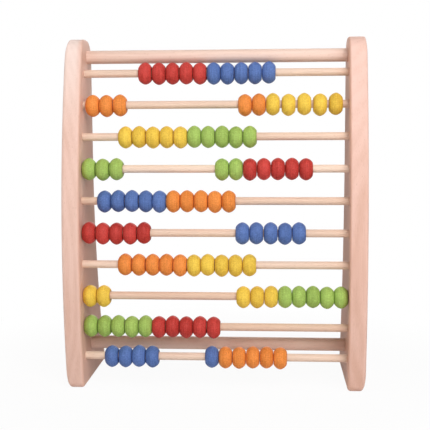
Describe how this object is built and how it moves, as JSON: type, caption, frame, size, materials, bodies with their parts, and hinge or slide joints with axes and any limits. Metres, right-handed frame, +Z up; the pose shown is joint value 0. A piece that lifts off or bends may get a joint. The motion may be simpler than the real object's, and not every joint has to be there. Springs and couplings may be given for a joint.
{
  "type": "wooden abacus",
  "caption": "Free-standing counting frame with bowed wooden side panels, crossbars and rows of painted barrel beads that slide along round rods.",
  "frame": {"origin": "middle of the footprint, on the surface that the feet stand on", "axes": "+Z up, +X along the rods to the viewer's right, -Y towards the viewer in front"},
  "size_m": [0.269, 0.1094, 0.3149],
  "materials": {
    "panel_wood": "sanded pale hardwood, clear matt",
    "bar_wood": "sanded pale hardwood dowel, clear matt",
    "rod_wood": "sanded pale hardwood dowel, clear matt",
    "red_paint": "matt red paint on turned wood",
    "blue_paint": "matt blue paint on turned wood",
    "orange_paint": "matt orange paint on turned wood",
    "yellow_paint": "matt yellow paint on turned wood",
    "green_paint": "matt green paint on turned wood"
  },
  "bodies": {
    "frame": {"left_panel": "panel_wood", "right_panel": "panel_wood", "top_bar": "bar_wood", "bottom_bar": "bar_wood", "rod_1": "rod_wood", "rod_2": "rod_wood", "rod_3": "rod_wood", "rod_4": "rod_wood", "rod_5": "rod_wood", "rod_6": "rod_wood", "rod_7": "rod_wood", "rod_8": "rod_wood", "rod_9": "rod_wood", "rod_10": "rod_wood"},
    "row1_red_free_bead": {"row1_red_free_bead": "red_paint"},
    "row1_red_beads": {"row1_red_beads": "red_paint"},
    "row1_blue_beads": {"row1_blue_beads": "blue_paint"},
    "row1_blue_free_bead": {"row1_blue_free_bead": "blue_paint"},
    "row2_orange_left_beads": {"row2_orange_left_beads": "orange_paint"},
    "row2_orange_left_free_bead": {"row2_orange_left_free_bead": "orange_paint"},
    "row2_orange_right_free_bead": {"row2_orange_right_free_bead": "orange_paint"},
    "row2_orange_right_bead": {"row2_orange_right_bead": "orange_paint"},
    "row2_yellow_beads": {"row2_yellow_beads": "yellow_paint"},
    "row3_yellow_free_bead": {"row3_yellow_free_bead": "yellow_paint"},
    "row3_yellow_beads": {"row3_yellow_beads": "yellow_paint"},
    "row3_green_beads": {"row3_green_beads": "green_paint"},
    "row3_green_free_bead": {"row3_green_free_bead": "green_paint"},
    "row4_green_left_beads": {"row4_green_left_beads": "green_paint"},
    "row4_green_left_free_bead": {"row4_green_left_free_bead": "green_paint"},
    "row4_green_right_free_bead": {"row4_green_right_free_bead": "green_paint"},
    "row4_green_right_bead": {"row4_green_right_bead": "green_paint"},
    "row4_red_beads": {"row4_red_beads": "red_paint"},
    "row4_red_free_bead": {"row4_red_free_bead": "red_paint"},
    "row5_blue_free_bead": {"row5_blue_free_bead": "blue_paint"},
    "row5_blue_beads": {"row5_blue_beads": "blue_paint"},
    "row5_orange_beads": {"row5_orange_beads": "orange_paint"},
    "row5_orange_free_bead": {"row5_orange_free_bead": "orange_paint"},
    "row6_red_beads": {"row6_red_beads": "red_paint"},
    "row6_red_free_bead": {"row6_red_free_bead": "red_paint"},
    "row6_blue_left_free_bead": {"row6_blue_left_free_bead": "blue_paint"},
    "row6_blue_beads": {"row6_blue_beads": "blue_paint"},
    "row6_blue_right_free_bead": {"row6_blue_right_free_bead": "blue_paint"},
    "row7_orange_free_bead": {"row7_orange_free_bead": "orange_paint"},
    "row7_orange_beads": {"row7_orange_beads": "orange_paint"},
    "row7_yellow_beads": {"row7_yellow_beads": "yellow_paint"},
    "row7_yellow_free_bead": {"row7_yellow_free_bead": "yellow_paint"},
    "row8_yellow_left_bead": {"row8_yellow_left_bead": "yellow_paint"},
    "row8_yellow_left_free_bead": {"row8_yellow_left_free_bead": "yellow_paint"},
    "row8_yellow_right_free_bead": {"row8_yellow_right_free_bead": "yellow_paint"},
    "row8_yellow_right_beads": {"row8_yellow_right_beads": "yellow_paint"},
    "row8_green_beads": {"row8_green_beads": "green_paint"},
    "row9_green_beads": {"row9_green_beads": "green_paint"},
    "row9_red_beads": {"row9_red_beads": "red_paint"},
    "row9_red_free_bead": {"row9_red_free_bead": "red_paint"},
    "row10_blue_left_free_bead": {"row10_blue_left_free_bead": "blue_paint"},
    "row10_blue_beads": {"row10_blue_beads": "blue_paint"},
    "row10_blue_right_free_bead": {"row10_blue_right_free_bead": "blue_paint"},
    "row10_blue_single_bead": {"row10_blue_single_bead": "blue_paint"},
    "row10_orange_beads": {"row10_orange_beads": "orange_paint"},
    "row10_orange_free_bead": {"row10_orange_free_bead": "orange_paint"}
  },
  "joints": [
    {"name": "row1_red_free_bead_slide", "type": "slide", "parent": "row1_red_beads", "child": "row1_red_free_bead", "axis": [1, 0, 0], "range_m": [-0.0245, 0]},
    {"name": "row1_red_beads_slide", "type": "slide", "parent": "frame", "child": "row1_red_beads", "axis": [1, 0, 0], "range_m": [-0.0245, 0]},
    {"name": "row1_blue_beads_slide", "type": "slide", "parent": "frame", "child": "row1_blue_beads", "axis": [1, 0, 0], "range_m": [0, 0.032]},
    {"name": "row1_blue_free_bead_slide", "type": "slide", "parent": "row1_blue_beads", "child": "row1_blue_free_bead", "axis": [1, 0, 0], "range_m": [0, 0.032]},
    {"name": "row2_orange_left_beads_slide", "type": "slide", "parent": "frame", "child": "row2_orange_left_beads", "axis": [1, 0, 0], "range_m": [-0.0022, 0.0199]},
    {"name": "row2_orange_left_free_bead_slide", "type": "slide", "parent": "row2_orange_left_beads", "child": "row2_orange_left_free_bead", "axis": [1, 0, 0], "range_m": [0, 0.0199]},
    {"name": "row2_orange_right_free_bead_slide", "type": "slide", "parent": "row2_orange_right_bead", "child": "row2_orange_right_free_bead", "axis": [1, 0, 0], "range_m": [-0.0199, 0]},
    {"name": "row2_orange_right_bead_slide", "type": "slide", "parent": "row2_yellow_beads", "child": "row2_orange_right_bead", "axis": [1, 0, 0], "range_m": [-0.0199, 0]},
    {"name": "row2_yellow_beads_slide", "type": "slide", "parent": "frame", "child": "row2_yellow_beads", "axis": [1, 0, 0], "range_m": [-0.0199, 0.0049]},
    {"name": "row3_yellow_free_bead_slide", "type": "slide", "parent": "row3_yellow_beads", "child": "row3_yellow_free_bead", "axis": [1, 0, 0], "range_m": [-0.0162, 0]},
    {"name": "row3_yellow_beads_slide", "type": "slide", "parent": "frame", "child": "row3_yellow_beads", "axis": [1, 0, 0], "range_m": [-0.0162, 0]},
    {"name": "row3_green_beads_slide", "type": "slide", "parent": "frame", "child": "row3_green_beads", "axis": [1, 0, 0], "range_m": [0, 0.0403]},
    {"name": "row3_green_free_bead_slide", "type": "slide", "parent": "row3_green_beads", "child": "row3_green_free_bead", "axis": [1, 0, 0], "range_m": [0, 0.0403]},
    {"name": "row4_green_left_beads_slide", "type": "slide", "parent": "frame", "child": "row4_green_left_beads", "axis": [1, 0, 0], "range_m": [0, 0.0204]},
    {"name": "row4_green_left_free_bead_slide", "type": "slide", "parent": "row4_green_left_beads", "child": "row4_green_left_free_bead", "axis": [1, 0, 0], "range_m": [0, 0.0204]},
    {"name": "row4_green_right_free_bead_slide", "type": "slide", "parent": "row4_green_right_bead", "child": "row4_green_right_free_bead", "axis": [1, 0, 0], "range_m": [-0.0204, 0]},
    {"name": "row4_green_right_bead_slide", "type": "slide", "parent": "frame", "child": "row4_green_right_bead", "axis": [1, 0, 0], "range_m": [-0.0204, 0]},
    {"name": "row4_red_beads_slide", "type": "slide", "parent": "frame", "child": "row4_red_beads", "axis": [1, 0, 0], "range_m": [0, 0.0156]},
    {"name": "row4_red_free_bead_slide", "type": "slide", "parent": "row4_red_beads", "child": "row4_red_free_bead", "axis": [1, 0, 0], "range_m": [0, 0.0156]},
    {"name": "row5_blue_free_bead_slide", "type": "slide", "parent": "row5_blue_beads", "child": "row5_blue_free_bead", "axis": [1, 0, 0], "range_m": [-0.0069, 0]},
    {"name": "row5_blue_beads_slide", "type": "slide", "parent": "frame", "child": "row5_blue_beads", "axis": [1, 0, 0], "range_m": [-0.0069, 0]},
    {"name": "row5_orange_beads_slide", "type": "slide", "parent": "frame", "child": "row5_orange_beads", "axis": [1, 0, 0], "range_m": [0, 0.0495]},
    {"name": "row5_orange_free_bead_slide", "type": "slide", "parent": "row5_orange_beads", "child": "row5_orange_free_bead", "axis": [1, 0, 0], "range_m": [0, 0.0495]},
    {"name": "row6_red_beads_slide", "type": "slide", "parent": "frame", "child": "row6_red_beads", "axis": [1, 0, 0], "range_m": [0, 0.0188]},
    {"name": "row6_red_free_bead_slide", "type": "slide", "parent": "row6_red_beads", "child": "row6_red_free_bead", "axis": [1, 0, 0], "range_m": [0, 0.0188]},
    {"name": "row6_blue_left_free_bead_slide", "type": "slide", "parent": "row6_blue_beads", "child": "row6_blue_left_free_bead", "axis": [1, 0, 0], "range_m": [-0.0188, 0]},
    {"name": "row6_blue_beads_slide", "type": "slide", "parent": "frame", "child": "row6_blue_beads", "axis": [1, 0, 0], "range_m": [-0.0188, 0.0186]},
    {"name": "row6_blue_right_free_bead_slide", "type": "slide", "parent": "row6_blue_beads", "child": "row6_blue_right_free_bead", "axis": [1, 0, 0], "range_m": [0, 0.0186]},
    {"name": "row7_orange_free_bead_slide", "type": "slide", "parent": "row7_orange_beads", "child": "row7_orange_free_bead", "axis": [1, 0, 0], "range_m": [-0.0161, 0]},
    {"name": "row7_orange_beads_slide", "type": "slide", "parent": "frame", "child": "row7_orange_beads", "axis": [1, 0, 0], "range_m": [-0.0161, 0]},
    {"name": "row7_yellow_beads_slide", "type": "slide", "parent": "frame", "child": "row7_yellow_beads", "axis": [1, 0, 0], "range_m": [0, 0.0404]},
    {"name": "row7_yellow_free_bead_slide", "type": "slide", "parent": "row7_yellow_beads", "child": "row7_yellow_free_bead", "axis": [1, 0, 0], "range_m": [0, 0.0404]},
    {"name": "row8_yellow_left_bead_slide", "type": "slide", "parent": "frame", "child": "row8_yellow_left_bead", "axis": [1, 0, 0], "range_m": [0, 0.0226]},
    {"name": "row8_yellow_left_free_bead_slide", "type": "slide", "parent": "row8_yellow_left_bead", "child": "row8_yellow_left_free_bead", "axis": [1, 0, 0], "range_m": [0, 0.0226]},
    {"name": "row8_yellow_right_free_bead_slide", "type": "slide", "parent": "row8_yellow_right_beads", "child": "row8_yellow_right_free_bead", "axis": [1, 0, 0], "range_m": [-0.0226, 0]},
    {"name": "row8_yellow_right_beads_slide", "type": "slide", "parent": "row8_green_beads", "child": "row8_yellow_right_beads", "axis": [1, 0, 0], "range_m": [-0.0226, 0]},
    {"name": "row8_green_beads_slide", "type": "slide", "parent": "frame", "child": "row8_green_beads", "axis": [1, 0, 0], "range_m": [-0.0226, 0]},
    {"name": "row9_green_beads_slide", "type": "slide", "parent": "frame", "child": "row9_green_beads", "axis": [1, 0, 0], "range_m": [0, 0.0377]},
    {"name": "row9_red_beads_slide", "type": "slide", "parent": "row9_green_beads", "child": "row9_red_beads", "axis": [1, 0, 0], "range_m": [0, 0.0377]},
    {"name": "row9_red_free_bead_slide", "type": "slide", "parent": "row9_red_beads", "child": "row9_red_free_bead", "axis": [1, 0, 0], "range_m": [0, 0.0377]},
    {"name": "row10_blue_left_free_bead_slide", "type": "slide", "parent": "row10_blue_beads", "child": "row10_blue_left_free_bead", "axis": [1, 0, 0], "range_m": [-0.0089, 0]},
    {"name": "row10_blue_beads_slide", "type": "slide", "parent": "frame", "child": "row10_blue_beads", "axis": [1, 0, 0], "range_m": [-0.0089, 0.0139]},
    {"name": "row10_blue_right_free_bead_slide", "type": "slide", "parent": "row10_blue_beads", "child": "row10_blue_right_free_bead", "axis": [1, 0, 0], "range_m": [0, 0.0139]},
    {"name": "row10_blue_single_bead_slide", "type": "slide", "parent": "frame", "child": "row10_blue_single_bead", "axis": [1, 0, 0], "range_m": [-0.0139, 0]},
    {"name": "row10_orange_beads_slide", "type": "slide", "parent": "frame", "child": "row10_orange_beads", "axis": [1, 0, 0], "range_m": [0, 0.0267]},
    {"name": "row10_orange_free_bead_slide", "type": "slide", "parent": "row10_orange_beads", "child": "row10_orange_free_bead", "axis": [1, 0, 0], "range_m": [0, 0.0267]}
  ]
}
